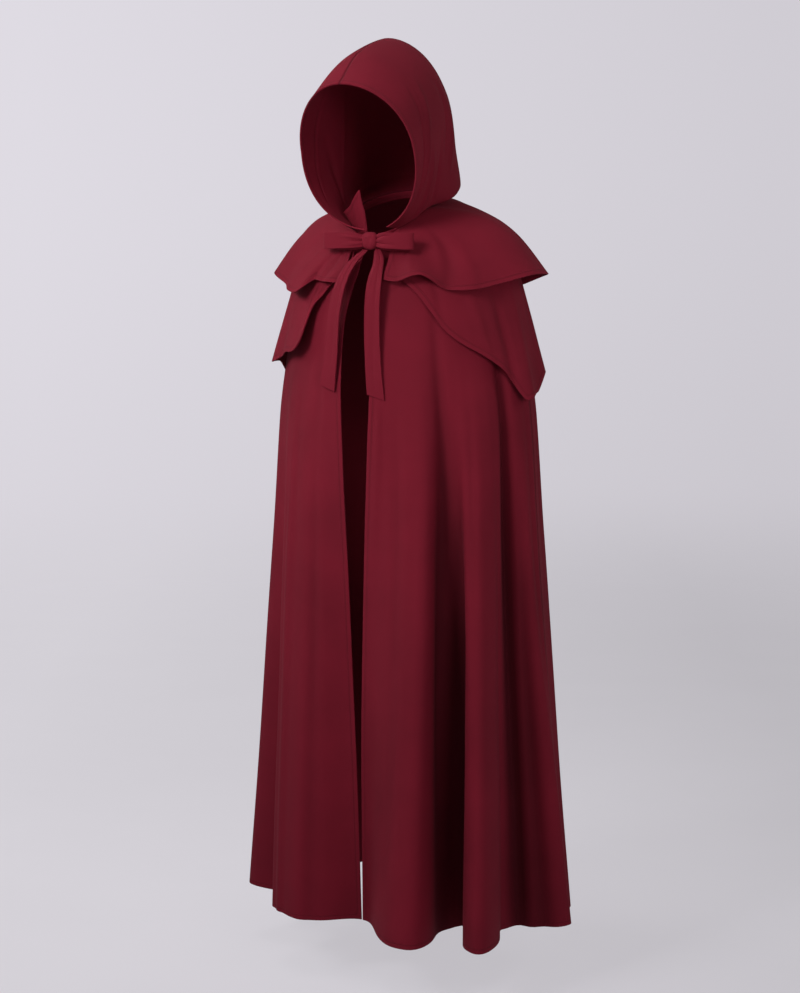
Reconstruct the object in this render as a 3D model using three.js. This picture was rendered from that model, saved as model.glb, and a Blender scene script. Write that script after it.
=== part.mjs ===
// A full-length hooded wool cloak, worn and hollow: two fronts and a back, an elbow-length under cape whose
// fronts are cut away, a short round shoulder cape, a two-piece hood, a neck facing and a self-fabric tie.
// Millimetres, +Z up. The wearer looks along -Y, so the wearer's left is +X.
// The origin is the middle of the neck opening, where the wearer carries the weight.
import * as THREE from "three";

// Driving dimensions
const wool = 2.4; // thickness of the fulled wool
const seam = 0.3; // air left between two pieces that are sewn together
const hemZ = -1290; // the hem, below the neck
const shoulderBend = 0.25; // how softly a ring bends where it passes over the shoulder
const foldGrowth = 1.25; // how late the folds deepen on their way to the hem
const leanGrowth = 1.6; // how late they lean over
const capeEase = 40; // how far below the neck a cape takes to stand out by its flare
const hoodLift = 3.3; // the hood's lower edge above the shoulder cape's
const hoodSettle = 0.9; // the share of the hood from which its lower edge turns in to the neck seam
const tieThickness = 2.6;
const loopLength = { left: 1, right: 1.18 }; // each loop against the length in the table
const tailSlant = { left: 7, right: 3 }; // how far each tail's end is cut aslant

// How finely each piece is stepped
const cloakRows = [0, 15, 30, 50, 75, 100, 130, 165, 200, 250, 320, 400, 500, 620, 780, 960, 1150, 1340];
const underCapeRows = [0, 0.06, 0.14, 0.24, 0.36, 0.5, 0.66, 0.83, 1];
const shoulderCapeRows = [0, 0.12, 0.26, 0.44, 0.62, 0.81, 1];
const stepsPerFold = { cloak: 4, underCape: 3, shoulderCape: 4 };
const hoodSteps = 14;
const facingSteps = { down: 8, plain: 24, raised: 15 };
const loopSteps = { along: 24, across: 2 };
const tailSteps = { along: 20, across: 4 };
const knotSteps = { round: 20, up: 12 };

const radians = Math.PI / 180;

// The oval that the cloth follows, ring by ring down the cloth. side is the half width, front, middle and back
// are places along Y, and zFront, zSide and zBack are the heights of the ring there.
const rings = [
  { down: 0, side: 76, front: -84, middle: -4, back: 66, zFront: -26, zSide: 22, zBack: 50 },
  { down: 50, side: 123, front: -101, middle: 16, back: 100, zFront: -71, zSide: 11, zBack: 38 },
  { down: 100, side: 169, front: -117, middle: 32, back: 134, zFront: -114, zSide: -12, zBack: -6 },
  { down: 150, side: 199, front: -130, middle: 42, back: 160, zFront: -160, zSide: -53, zBack: -58 },
  { down: 210, side: 215, front: -139, middle: 48, back: 178, zFront: -216, zSide: -110, zBack: -130 },
  { down: 320, side: 235, front: -146, middle: 50, back: 200, zFront: -318, zSide: -218, zBack: -238 },
  { down: 440, side: 252, front: -147, middle: 50, back: 218, zFront: -420, zSide: -345, zBack: -362 },
  { down: 640, side: 263, front: -148, middle: 50, back: 232, zFront: -600, zSide: -570, zBack: -575 },
  { down: 960, side: 280, front: -150, middle: 52, back: 252, zFront: -918, zSide: -912, zBack: -914 },
  { down: 1340, side: 300, front: -150, middle: 54, back: 272, zFront: hemZ, zSide: hemZ, zBack: hemZ },
];

// The folds of the cloak at its hem: at is the place round the oval in degrees from the front towards the
// wearer's left, out and lean are how far the cloth stands off the oval and leans along it, top is where the
// fold starts.
const cloakFolds = [
  { at: -180, out: 46, lean: 0, top: -260 },
  { at: -166, out: -16, lean: 0, top: -260 },
  { at: -150, out: 48, lean: -8, top: -240 },
  { at: -134, out: -18, lean: 0, top: -240 },
  { at: -117, out: 46, lean: 8, top: -220 },
  { at: -96, out: -8, lean: 0, top: -220 },
  { at: -72, out: 34, lean: 10, top: -120 },
  { at: -54, out: -44, lean: 20, top: -180 },
  { at: -41, out: 30, lean: 32, top: -180 },
  { at: -22, out: 44, lean: 16, top: -200 },
  { at: 0, out: -28, lean: 0, top: -330 },
  { at: 28, out: 106, lean: -20, top: -250 },
  { at: 41, out: -24, lean: 2, top: -260 },
  { at: 53, out: 128, lean: -52, top: -230 },
  { at: 66, out: -10, lean: -24, top: -230 },
  { at: 84, out: 46, lean: 0, top: -200 },
  { at: 101, out: 10, lean: 0, top: -220 },
  { at: 119, out: 32, lean: -8, top: -220 },
  { at: 135, out: -18, lean: 0, top: -240 },
  { at: 151, out: 48, lean: 8, top: -240 },
  { at: 166, out: -16, lean: 0, top: -260 },
  { at: 180, out: 46, lean: 0, top: -260 },
];

// Half the front opening, from the neck down to the hem.
const frontEdge = [
  { down: 0, half: 10 },
  { down: 60, half: 13 },
  { down: 110, half: 21 },
  { down: 170, half: 29 },
  { down: 240, half: 31 },
  { down: 440, half: 26 },
  { down: 760, half: 14 },
  { down: 1060, half: 5 },
  { down: 1340, half: 1.5 },
];

// The under cape, cut away at the front, down to the elbow. Each cape stands off the cloth below it: by its gap
// at the neck, by gap and flare further down, and by its waves at its hem. left and right are where its front
// edges hang, beside the middle of the front, and long is measured down the cloth.
const underCape = {
  gap: 3.2,
  flare: 3,
  rise: 2,
  left: 40,
  right: 28,
  edge: [
    { at: -180, long: 372, out: 22, lean: 0 },
    { at: -160, long: 370, out: 4, lean: 0 },
    { at: -140, long: 370, out: 24, lean: 0 },
    { at: -120, long: 410, out: 8, lean: 0 },
    { at: -98, long: 398, out: 30, lean: 0 },
    { at: -78, long: 356, out: 14, lean: 0 },
    { at: -64, long: 332, out: 22, lean: 0 },
    { at: -54, long: 298, out: 10, lean: 0 },
    { at: -45, long: 274, out: 14, lean: 0 },
    { at: -37, long: 256, out: 18, lean: 6 },
    { at: -31.5, long: 226, out: 20, lean: 8 },
    { at: -29, long: 164, out: 10, lean: 4 },
    { at: -24, long: 130, out: 3, lean: 0 },
    { at: -14, long: 66, out: 1, lean: 0 },
    { at: 14, long: 66, out: 1, lean: 0 },
    { at: 30, long: 121, out: 2, lean: 0 },
    { at: 46, long: 232, out: 6, lean: 0 },
    { at: 62, long: 304, out: 10, lean: 0 },
    { at: 72, long: 352, out: 12, lean: 0 },
    { at: 80, long: 410, out: 20, lean: 0 },
    { at: 92, long: 406, out: 10, lean: 0 },
    { at: 106, long: 373, out: 20, lean: 0 },
    { at: 124, long: 370, out: 6, lean: 0 },
    { at: 142, long: 370, out: 24, lean: 0 },
    { at: 162, long: 370, out: 4, lean: 0 },
    { at: 180, long: 372, out: 22, lean: 0 },
  ],
};

// The short shoulder cape, which lies over the under cape.
const shoulderCape = {
  over: underCape,
  gap: 3.3,
  flare: 1.5,
  rise: 2,
  left: 44,
  right: 31,
  edge: [
    { at: -180, long: 190, out: 16, lean: 0 },
    { at: -158, long: 188, out: 4, lean: 0 },
    { at: -136, long: 198, out: 22, lean: 0 },
    { at: -114, long: 208, out: 8, lean: 0 },
    { at: -92, long: 204, out: 37, lean: 0 },
    { at: -72, long: 182, out: 36, lean: -4 },
    { at: -56, long: 167, out: 16, lean: 0 },
    { at: -44, long: 158, out: 22, lean: 4 },
    { at: -37, long: 146, out: 24, lean: 10 },
    { at: -31, long: 116, out: 6, lean: 0 },
    { at: -24, long: 111, out: 10, lean: 0 },
    { at: -11, long: 101, out: 5, lean: 0 },
    { at: 11, long: 92, out: 2, lean: 0 },
    { at: 23, long: 106, out: 6, lean: 0 },
    { at: 36, long: 114, out: 22, lean: 0 },
    { at: 48, long: 154, out: 8, lean: 0 },
    { at: 64, long: 182, out: 12, lean: 0 },
    { at: 92, long: 204, out: 44, lean: 0 },
    { at: 114, long: 204, out: 46, lean: 0 },
    { at: 134, long: 212, out: 14, lean: 0 },
    { at: 157, long: 188, out: 4, lean: 0 },
    { at: 180, long: 190, out: 16, lean: 0 },
  ],
};

// The hood as arches from its face edge back to the neck seam. right and left are where the arch stands on the
// neck ring, lift how far it stands above it, apexY and apexZ its highest point, wide its half width, rise
// the share of its height at which it is widest, peak how pointed its top is, drift and slip how far its
// widest and its upper part lie to the wearer's left, full how far its right side bulges low down.
const hoodArches = [
  {
    at: 0, right: 7, left: 24, lift: 10, apexY: -195, apexZ: 242, wide: 115,
    rise: 0.54, peak: 1, drift: 7, slip: 3, full: 11,
  },
  {
    at: 0.22, right: 22, left: 34, lift: 2, apexY: -122, apexZ: 303, wide: 115,
    rise: 0.52, peak: 1.15, drift: 6, slip: 7, full: 7,
  },
  {
    at: 0.42, right: 38, left: 46, lift: 0, apexY: -18, apexZ: 331, wide: 112,
    rise: 0.48, peak: 1.25, drift: 4, slip: 9, full: 3,
  },
  {
    at: 0.6, right: 56, left: 58, lift: 0, apexY: 62, apexZ: 290, wide: 105,
    rise: 0.42, peak: 1.2, drift: 2, slip: 8, full: 0,
  },
  {
    at: 0.76, right: 72, left: 72, lift: 0, apexY: 106, apexZ: 198, wide: 104,
    rise: 0.34, peak: 1.15, drift: 0, slip: 4, full: 0,
  },
  {
    at: 0.9, right: 88, left: 88, lift: 0, apexY: 120, apexZ: 98, wide: 108,
    rise: 0.32, peak: 1, drift: 0, slip: 0, full: 0,
  },
  {
    at: 1, right: 96, left: 96, lift: 0, apexY: 69, apexZ: 44, wide: 78,
    rise: 0.1, peak: 1, drift: 0, slip: 0, full: 0,
  },
];

// The band inside the neck: how far its upper edge stands above the neck and leans in, and how deep it hangs.
// Its ends lie beside the middle of the front, and its right front is raised from raisedFrom onwards.
const facing = {
  gap: 3.4,
  sink: 3,
  turn: 11,
  deep: 44,
  ends: 10,
  raisedFrom: 100,
  edge: [
    { at: -180, up: 13, back: 0 },
    { at: -92, up: 12, back: 0 },
    { at: -78, up: 14, back: 0 },
    { at: -62, up: 22, back: -1.6 },
    { at: -45, up: 38, back: -12 },
    { at: -32, up: 62, back: 4 },
    { at: -21, up: 84, back: 18 },
    { at: -15, up: 50, back: 14 },
    { at: -8, up: 8, back: 0 },
    { at: 60, up: 8, back: 0 },
    { at: 180, up: 13, back: 0 },
  ],
};

// The tie: its knot, a loop as a hairpin seen from above, out from the knot and back, and its two tails, which
// hang down the fronts. x, off and down are places across, off and down the cloak, turn is the twist in degrees.
const knot = { x: 12, y: -110, z: -32, wide: 26, deep: 18, high: 32, flatness: 0.8 };
const tieWidth = 32;
const loopPath = [
  { at: 0, out: 13.1, y: -2, z: 0, high: 17 },
  { at: 0.2, out: 34, y: -8, z: 1, high: 27 },
  { at: 0.44, out: 81, y: -1, z: 0, high: 30 },
  { at: 0.5, out: 86, y: 4, z: 0, high: 30 },
  { at: 0.56, out: 81, y: 9, z: -1, high: 30 },
  { at: 0.8, out: 34, y: 4, z: -3, high: 27 },
  { at: 1, out: 13.1, y: 3, z: -2, high: 17 },
];
const tailLeft = [
  { at: 0, x: 22, down: 31.1, off: 15, turn: 0, wide: 11 },
  { at: 0.12, x: 32, down: 62, off: 21, turn: 4, wide: 20 },
  { at: 0.3, x: 31, down: 104, off: 19, turn: 8, wide: 30 },
  { at: 0.5, x: 33, down: 168, off: 11, turn: 8, wide: tieWidth },
  { at: 0.75, x: 37, down: 240, off: 5.5, turn: 4, wide: tieWidth },
  { at: 1, x: 44, down: 314, off: 3.4, turn: 0, wide: 34 },
];
const tailRight = [
  { at: 0, x: 0, down: 31, off: 16, turn: 10, wide: 12 },
  { at: 0.12, x: -19, down: 60, off: 21, turn: 12, wide: 22 },
  { at: 0.26, x: -28, down: 98, off: 26.4, turn: 12, wide: 28 },
  { at: 0.45, x: -38, down: 150, off: 20, turn: 12, wide: tieWidth },
  { at: 0.75, x: -47, down: 226, off: 9, turn: 6, wide: tieWidth },
  { at: 1, x: -57, down: 302, off: 4.6, turn: -4, wide: 34 },
];

// A value read from a table's column, on a smooth curve through its rows that never overshoots them.
function read(rows, place, column, at) {
  const last = rows.length - 1;
  if (at <= rows[0][place]) return rows[0][column];
  if (at >= rows[last][place]) return rows[last][column];
  let i = 0;
  while (rows[i + 1][place] < at) i += 1;
  const slope = (k) => (rows[k + 1][column] - rows[k][column]) / (rows[k + 1][place] - rows[k][place]);
  const tangent = (k) => {
    if (k === 0) return slope(0);
    if (k === last) return slope(last - 1);
    const [before, after] = [slope(k - 1), slope(k)];
    return before * after <= 0 ? 0 : (2 * before * after) / (before + after);
  };
  const step = rows[i + 1][place] - rows[i][place];
  const f = (at - rows[i][place]) / step;
  const [f2, f3] = [f * f, f * f * f];
  return (
    (2 * f3 - 3 * f2 + 1) * rows[i][column] +
    (f3 - 2 * f2 + f) * step * tangent(i) +
    (3 * f2 - 2 * f3) * rows[i + 1][column] +
    (f3 - f2) * step * tangent(i + 1)
  );
}

// A value read from a ring of folds, level at each crest and each valley.
function readFold(rows, column, at) {
  let i = 0;
  while (i < rows.length - 2 && rows[i + 1].at < at) i += 1;
  const f = Math.min(1, Math.max(0, (at - rows[i].at) / (rows[i + 1].at - rows[i].at)));
  const eased = (1 - Math.cos(Math.PI * f)) / 2;
  return rows[i][column] + (rows[i + 1][column] - rows[i][column]) * eased;
}

const wrap = (at) => ((((at + 180) % 360) + 360) % 360) - 180;

// The oval at an angle from the front and a distance down the cloth.
function oval(at, down) {
  const value = (column) => read(rings, "down", column, down);
  const [sine, cosine] = [Math.sin(at * radians), Math.cos(at * radians)];
  const middle = value("middle");
  const reach = cosine > 0 ? middle - value("front") : value("back") - middle;
  const zEnd = cosine > 0 ? value("zFront") : value("zBack");
  const bend = ((1 + shoulderBend) * cosine * cosine) / (Math.abs(cosine) + shoulderBend);
  const z = value("zSide") + (zEnd - value("zSide")) * bend;
  return new THREE.Vector3(value("side") * sine, middle - reach * cosine, z);
}

// The oval's outward and sideways directions.
function ovalFrame(at, down) {
  const [degrees, drop] = [0.5, 2];
  const along = oval(at + degrees, down).sub(oval(at - degrees, down)).normalize();
  const downward = oval(at, down + drop).sub(oval(at, Math.max(0, down - drop))).normalize();
  const outward = new THREE.Vector3().crossVectors(downward, along).normalize();
  return { along, outward };
}

// The cloak's own cloth: the oval with its folds, which deepen towards the hem.
function cloakPoint(at, down) {
  const point = oval(at, down);
  const place = wrap(at);
  const top = readFold(cloakFolds, "top", place);
  const depth = Math.min(1, Math.max(0, (top - point.z) / (top - hemZ)));
  const { along, outward } = ovalFrame(at, down);
  point.addScaledVector(outward, readFold(cloakFolds, "out", place) * depth ** foldGrowth);
  point.addScaledVector(along, readFold(cloakFolds, "lean", place) * depth ** leanGrowth);
  return point;
}

// How far a cape stands off the cloak.
function capeStand(cape, place, down) {
  const share = Math.min(1, down / read(cape.edge, "at", "long", place));
  const below = cape.over ? capeStand(cape.over, place, down) : 0;
  const wave = readFold(cape.edge, "out", place) * share ** cape.rise;
  return below + cape.gap + cape.flare * (1 - Math.exp(-down / capeEase)) + wave;
}

// A cape over the cloak: share runs from 0 at the neck to 1 at its edge.
function capePoint(cape, at, share) {
  const place = wrap(at);
  const down = share * read(cape.edge, "at", "long", place);
  const { along, outward } = ovalFrame(at, down);
  return cloakPoint(at, down)
    .addScaledVector(outward, capeStand(cape, place, down))
    .addScaledVector(along, readFold(cape.edge, "lean", place) * share ** cape.rise);
}

// The neck ring's own plane, for edges that meet at the neck seam.
const [neck] = rings;
const neckUp = new THREE.Vector3(0, neck.zFront - neck.zBack, neck.back - neck.front).normalize();

function neckRing(at, outward, upward) {
  const frame = ovalFrame(at, 0);
  return oval(at, 0).addScaledVector(frame.outward, outward).addScaledVector(neckUp, upward);
}

// The hood: share 0 at the face edge and 1 at the neck seam, across -1 at the wearer's right to 1 at the left.
function hoodPoint(share, across) {
  const value = (column) => read(hoodArches, "at", column, share);
  const lift = hoodLift + value("lift");
  const foot = neckRing(value(across < 0 ? "right" : "left"), underCape.gap + shoulderCape.gap, lift);
  const base = new THREE.Vector3(0, foot.y, foot.z);
  const apex = new THREE.Vector3(0, value("apexY"), value("apexZ"));
  const height = base.distanceTo(apex);
  const upward = apex.clone().sub(base).normalize();
  const least = foot.x + seam;
  const wide = Math.max(value("wide"), least);
  const level = value("rise") * height;
  const end = Math.PI - Math.asin(foot.x / wide);
  const angle = Math.abs(across) * end;
  const half = Math.cos(angle) > 0 ? height - level : level / -Math.cos(end);
  const sine = Math.cos(angle) > 0 ? Math.sin(angle) ** value("peak") : Math.sin(angle);
  const drift = value("drift") * sine * sine;
  const below = Math.max(0, (angle - Math.PI / 2) / (end - Math.PI / 2));
  const bulge = across < 0 ? value("full") * Math.sin(Math.PI * below) : 0;
  const slip = value("slip") * Math.max(0, Math.sin(2 * angle));
  const point = base
    .addScaledVector(upward, level + half * Math.cos(angle))
    .add(new THREE.Vector3(Math.sign(across) * wide * sine + drift + slip - bulge, 0, 0));
  const seamAt = 180 - Math.abs(across) * (180 - value("left"));
  const seamPoint = neckRing(across < 0 ? -seamAt : seamAt, underCape.gap + shoulderCape.gap, lift);
  const settle = Math.max(0, (share - hoodSettle) / (1 - hoodSettle)) ** 2;
  return point.lerp(seamPoint, settle);
}

// A wall of cloth over a surface, given at places down and across: half its thickness goes to each side.
function clothWall(surface, places, thickness) {
  const { downs, acrosses } = places;
  const [rows, columns] = [downs.length, acrosses.length];
  const fineness = 4000;
  const downStep = (downs[rows - 1] - downs[0]) / fineness;
  const acrossStep = (acrosses[columns - 1] - acrosses[0]) / fineness;
  const centres = [];
  for (const down of downs) {
    for (const across of acrosses) {
      const above = surface(Math.max(downs[0], down - downStep), across);
      const below = surface(Math.min(downs[rows - 1], down + downStep), across);
      const before = surface(down, across - acrossStep);
      const after = surface(down, across + acrossStep);
      const normal = below.sub(above).cross(after.sub(before)).normalize();
      centres.push({ point: surface(down, across), normal });
    }
  }
  const positions = [];
  for (const side of [1, -1]) {
    for (const { point, normal } of centres) {
      const moved = point.clone().addScaledVector(normal, (side * thickness) / 2);
      positions.push(moved.x, moved.y, moved.z);
    }
  }
  const index = [];
  const vertex = (side, r, c) => side * rows * columns + r * columns + c;
  const quad = (a, b, c, d) => index.push(a, b, c, a, c, d);
  for (let r = 0; r < rows - 1; r += 1) {
    for (let c = 0; c < columns - 1; c += 1) {
      quad(vertex(0, r, c), vertex(0, r + 1, c), vertex(0, r + 1, c + 1), vertex(0, r, c + 1));
      quad(vertex(1, r, c), vertex(1, r, c + 1), vertex(1, r + 1, c + 1), vertex(1, r + 1, c));
    }
  }
  for (let r = 0; r < rows - 1; r += 1) {
    quad(vertex(0, r, 0), vertex(1, r, 0), vertex(1, r + 1, 0), vertex(0, r + 1, 0));
    const c = columns - 1;
    quad(vertex(0, r, c), vertex(0, r + 1, c), vertex(1, r + 1, c), vertex(1, r, c));
  }
  for (let c = 0; c < columns - 1; c += 1) {
    quad(vertex(0, 0, c), vertex(0, 0, c + 1), vertex(1, 0, c + 1), vertex(1, 0, c));
    const r = rows - 1;
    quad(vertex(0, r, c), vertex(1, r, c), vertex(1, r, c + 1), vertex(0, r, c + 1));
  }
  const geometry = new THREE.BufferGeometry();
  geometry.setAttribute("position", new THREE.Float32BufferAttribute(positions, 3));
  geometry.setIndex(index);
  return geometry;
}

// Even places from one value to another.
function evenly(from, to, steps) {
  return Array.from({ length: steps + 1 }, (_, i) => from + ((to - from) * i) / steps);
}

const woolRed = new THREE.MeshStandardMaterial({ color: 0x6b1420, roughness: 0.85, metalness: 0 });
const cloak = new THREE.Group();

function add(name, geometry) {
  const mesh = new THREE.Mesh(geometry, woolRed);
  mesh.name = name;
  cloak.add(mesh);
}

// Places round a piece: every fold's crest and valley, with some steps between them.
function placesBetween(from, to, folds, steps) {
  const closest = 2;
  const stops = [from];
  for (const turn of [-360, 0, 360]) {
    for (const fold of folds) {
      const at = fold.at + turn;
      if (at > from + closest && at < to - closest && !stops.includes(at)) stops.push(at);
    }
  }
  stops.push(to);
  stops.sort((a, b) => a - b);
  const places = [];
  for (let i = 0; i < stops.length - 1; i += 1) {
    for (let k = 0; k < steps; k += 1) places.push(stops[i] + ((stops[i + 1] - stops[i]) * k) / steps);
  }
  return [...places, to];
}

// The place round the oval that is this far beside the middle of the front.
function edgeAngle(half, down) {
  return Math.asin(half / read(rings, "down", "side", down)) / radians;
}

// A place within reach of the front edge, moved so that the edge hangs where it should.
function nearEdge(at, edge, wanted, reach) {
  const away = Math.abs(wrap(at)) - edge;
  return at + Math.sign(wrap(at)) * Math.max(0, 1 - away / reach) * (wanted - edge);
}

function cloakPanel(name, from, to) {
  const [hemEdge, reach] = [2, 16];
  const seamAngle = (at, down) => seam / 2 / cloakPoint(at + 0.5, down).distanceTo(cloakPoint(at - 0.5, down));
  const surface = (down, at) => {
    const wanted = edgeAngle(read(frontEdge, "down", "half", down), down);
    let place = nearEdge(at, hemEdge, wanted, reach);
    if (from !== 0 && at <= from + 1) place += seamAngle(from, down);
    if (to !== 0 && at >= to - 1) place -= seamAngle(to, down);
    return cloakPoint(place, down);
  };
  const ends = [from === 0 ? hemEdge : from, to === 0 ? -hemEdge : to];
  const acrosses = placesBetween(...ends, cloakFolds, stepsPerFold.cloak);
  add(name, clothWall(surface, { downs: cloakRows, acrosses }, wool));
}

cloakPanel("front_left", 0, 90);
cloakPanel("back", 90, 270);
cloakPanel("front_right", -90, 0);

// The two capes
function capePiece(name, cape, downs, steps) {
  const [edge, reach] = [14, 50];
  const surface = (share, at) => {
    const down = share * read(cape.edge, "at", "long", wrap(at));
    const wanted = edgeAngle(wrap(at) > 0 ? cape.left : cape.right, down);
    return capePoint(cape, nearEdge(at, edge, wanted, reach), share);
  };
  const acrosses = placesBetween(edge, 360 - edge, cape.edge, steps);
  add(name, clothWall(surface, { downs, acrosses }, wool));
}

capePiece("under_cape", underCape, underCapeRows, stepsPerFold.underCape);
capePiece("shoulder_cape", shoulderCape, shoulderCapeRows, stepsPerFold.shoulderCape);

// The hood's two halves, joined along the middle
function hoodHalf(name, side) {
  const surface = (share, across) => {
    const point = hoodPoint(share, across);
    point.x += (side * seam) / 2;
    return point;
  };
  const acrosses = evenly(Math.min(0, side), Math.max(0, side), hoodSteps);
  add(name, clothWall(surface, { downs: evenly(0, 1, hoodSteps), acrosses }, wool));
}

hoodHalf("hood_left", 1);
hoodHalf("hood_right", -1);

// The neck facing: down to share 0.5 it stands above the neck, where its right front turns up, and then hangs.
function facingPoint(share, at) {
  const place = wrap(at);
  const stand = Math.max(0, 1 - 2 * share);
  const down = Math.max(0, 2 * share - 1) * facing.deep;
  const frame = ovalFrame(at, down);
  const inward = new THREE.Vector3().crossVectors(neckUp, frame.along).normalize();
  const under = Math.min(1, down / facing.turn);
  return oval(at, down)
    .addScaledVector(inward, facing.gap * (1 - under))
    .addScaledVector(neckUp, -facing.sink * (1 - under))
    .addScaledVector(frame.outward, -facing.gap * under)
    .addScaledVector(neckUp, stand * read(facing.edge, "at", "up", place))
    .addScaledVector(inward, stand * readFold(facing.edge, "back", place));
}

// The tie's loops, on either side of the knot
function tieLoop(name, side, longer) {
  const surface = (share, across) => {
    const value = (column) => read(loopPath, "at", column, share);
    return new THREE.Vector3(
      knot.x + side * (knot.wide / 2 + (value("out") - knot.wide / 2) * longer),
      knot.y + value("y"),
      knot.z + value("z") - (side * across * value("high")) / 2,
    );
  };
  const places = { downs: evenly(0, 1, loopSteps.along), acrosses: evenly(-1, 1, loopSteps.across) };
  add(name, clothWall(surface, places, tieThickness));
}

tieLoop("tie_loop_left", 1, loopLength.left);
tieLoop("tie_loop_right", -1, loopLength.right);

// The tie's tails, on the cloak's fronts
function tieTail(name, path, slant) {
  const surface = (share, across) => {
    const value = (column) => read(path, "at", column, share);
    const down = value("down") + slant * share * across;
    const at = Math.asin(value("x") / read(rings, "down", "side", down)) / radians;
    const { along, outward } = ovalFrame(at, down);
    const turn = value("turn") * radians;
    const reach = (across * value("wide")) / 2;
    return cloakPoint(at, down)
      .addScaledVector(outward, value("off") + reach * Math.sin(turn))
      .addScaledVector(along, reach * Math.cos(turn));
  };
  const places = { downs: evenly(0, 1, tailSteps.along), acrosses: evenly(-1, 1, tailSteps.across) };
  add(name, clothWall(surface, places, tieThickness));
}

tieTail("tie_tail_left", tailLeft, tailSlant.left);
tieTail("tie_tail_right", tailRight, tailSlant.right);

// The knot: a rounded lump with flattened sides
function knotLump() {
  const geometry = new THREE.SphereGeometry(1, knotSteps.round, knotSteps.up);
  const places = geometry.attributes.position;
  const flatter = (value) => Math.sign(value) * Math.abs(value) ** knot.flatness;
  for (let i = 0; i < places.count; i += 1) {
    const [x, y, z] = [places.getX(i), places.getZ(i), places.getY(i)].map(flatter);
    places.setXYZ(i, knot.x + (x * knot.wide) / 2, knot.y - (y * knot.deep) / 2, knot.z + (z * knot.high) / 2);
  }
  return geometry;
}

add("tie_knot", knotLump());

// The neck facing
const facingPlaces = {
  downs: evenly(0, 1, facingSteps.down),
  acrosses: [
    ...evenly(facing.ends - 360, -facing.raisedFrom - 10, facingSteps.plain),
    ...evenly(-facing.raisedFrom, -facing.ends, facingSteps.raised),
  ],
};
add("neck_facing", clothWall(facingPoint, facingPlaces, wool));

export default cloak;
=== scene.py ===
import math

import bmesh
import bpy
import numpy as np
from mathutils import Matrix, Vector


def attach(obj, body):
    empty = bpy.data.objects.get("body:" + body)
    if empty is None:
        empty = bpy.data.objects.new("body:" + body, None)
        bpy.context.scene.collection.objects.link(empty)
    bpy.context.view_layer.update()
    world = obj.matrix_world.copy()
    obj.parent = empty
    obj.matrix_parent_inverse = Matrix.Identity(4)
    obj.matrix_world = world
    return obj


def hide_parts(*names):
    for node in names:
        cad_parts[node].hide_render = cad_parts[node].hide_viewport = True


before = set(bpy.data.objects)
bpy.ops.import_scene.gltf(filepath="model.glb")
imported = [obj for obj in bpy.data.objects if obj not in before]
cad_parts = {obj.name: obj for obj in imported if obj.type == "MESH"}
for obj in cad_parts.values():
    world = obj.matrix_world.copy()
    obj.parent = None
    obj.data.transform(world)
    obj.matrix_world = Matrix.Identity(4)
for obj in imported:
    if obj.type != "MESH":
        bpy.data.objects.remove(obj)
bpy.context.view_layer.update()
mm = 0.001

# Camera: at chest height, a little to the wearer's left, looking slightly down
view = {"azimuth": 30, "distance": 4.2, "height": 0.03, "pitch": 7.3, "aside": 0.009, "lens": 82.2}


def placeCamera():
    turn = math.radians(view["azimuth"])
    toCamera = Vector((math.sin(turn), -math.cos(turn), 0))
    right = Vector((math.cos(turn), math.sin(turn), 0))
    data = bpy.data.cameras.new("camera")
    data.lens = view["lens"]
    camera = bpy.data.objects.new("camera", data)
    camera.location = toCamera * view["distance"] + right * view["aside"] + Vector((0, 0, view["height"]))
    camera.rotation_euler = (math.radians(90 - view["pitch"]), 0, turn)
    bpy.context.scene.collection.objects.link(camera)
    bpy.context.scene.camera = camera


placeCamera()
print("camera placed")


# Tables: named columns, one row for each ring, fold or arch. Lengths are in millimetres, angles in degrees.
def table(columns, *rows):
    return {name: np.array([row[k] for row in rows], float) for k, name in enumerate(columns.split())}


# The oval that the cloth follows, ring by ring down the cloth
rings = table(
    "down side front middle back zFront zSide zBack",
    (0, 76, -84, -4, 66, -26, 22, 50),
    (50, 123, -101, 16, 100, -71, 11, 38),
    (100, 169, -117, 32, 134, -114, -12, -6),
    (150, 199, -130, 42, 160, -160, -53, -58),
    (210, 215, -139, 48, 178, -216, -110, -130),
    (320, 235, -146, 50, 200, -318, -218, -238),
    (440, 252, -147, 50, 218, -420, -345, -362),
    (640, 263, -148, 50, 232, -600, -570, -575),
    (960, 280, -150, 52, 252, -918, -912, -914),
    (1340, 300, -150, 54, 272, -1290, -1290, -1290),
)

# The cloak's folds at the hem: place round the oval, how far out, how far along, and where each starts
cloakFolds = table(
    "at out lean top",
    (-180, 46, 0, -260), (-166, -16, 0, -260), (-150, 48, -8, -240), (-134, -18, 0, -240),
    (-117, 46, 8, -220), (-96, -8, 0, -220), (-72, 34, 10, -120), (-54, -44, 20, -180),
    (-41, 30, 32, -180), (-22, 44, 16, -200), (0, -28, 0, -330), (28, 106, -20, -250),
    (41, -24, 2, -260), (53, 128, -52, -230), (66, -10, -24, -230), (84, 46, 0, -200),
    (101, 10, 0, -220), (119, 32, -8, -220), (135, -18, 0, -240), (151, 48, 8, -240),
    (166, -16, 0, -260), (180, 46, 0, -260),
)

# How far each front's edge stands from the middle, down the front
frontEdge = table(
    "down half",
    (0, 10), (60, 13), (110, 21), (170, 29), (240, 31), (440, 26), (760, 14), (1060, 5), (1340, 1.5),
)

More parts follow.
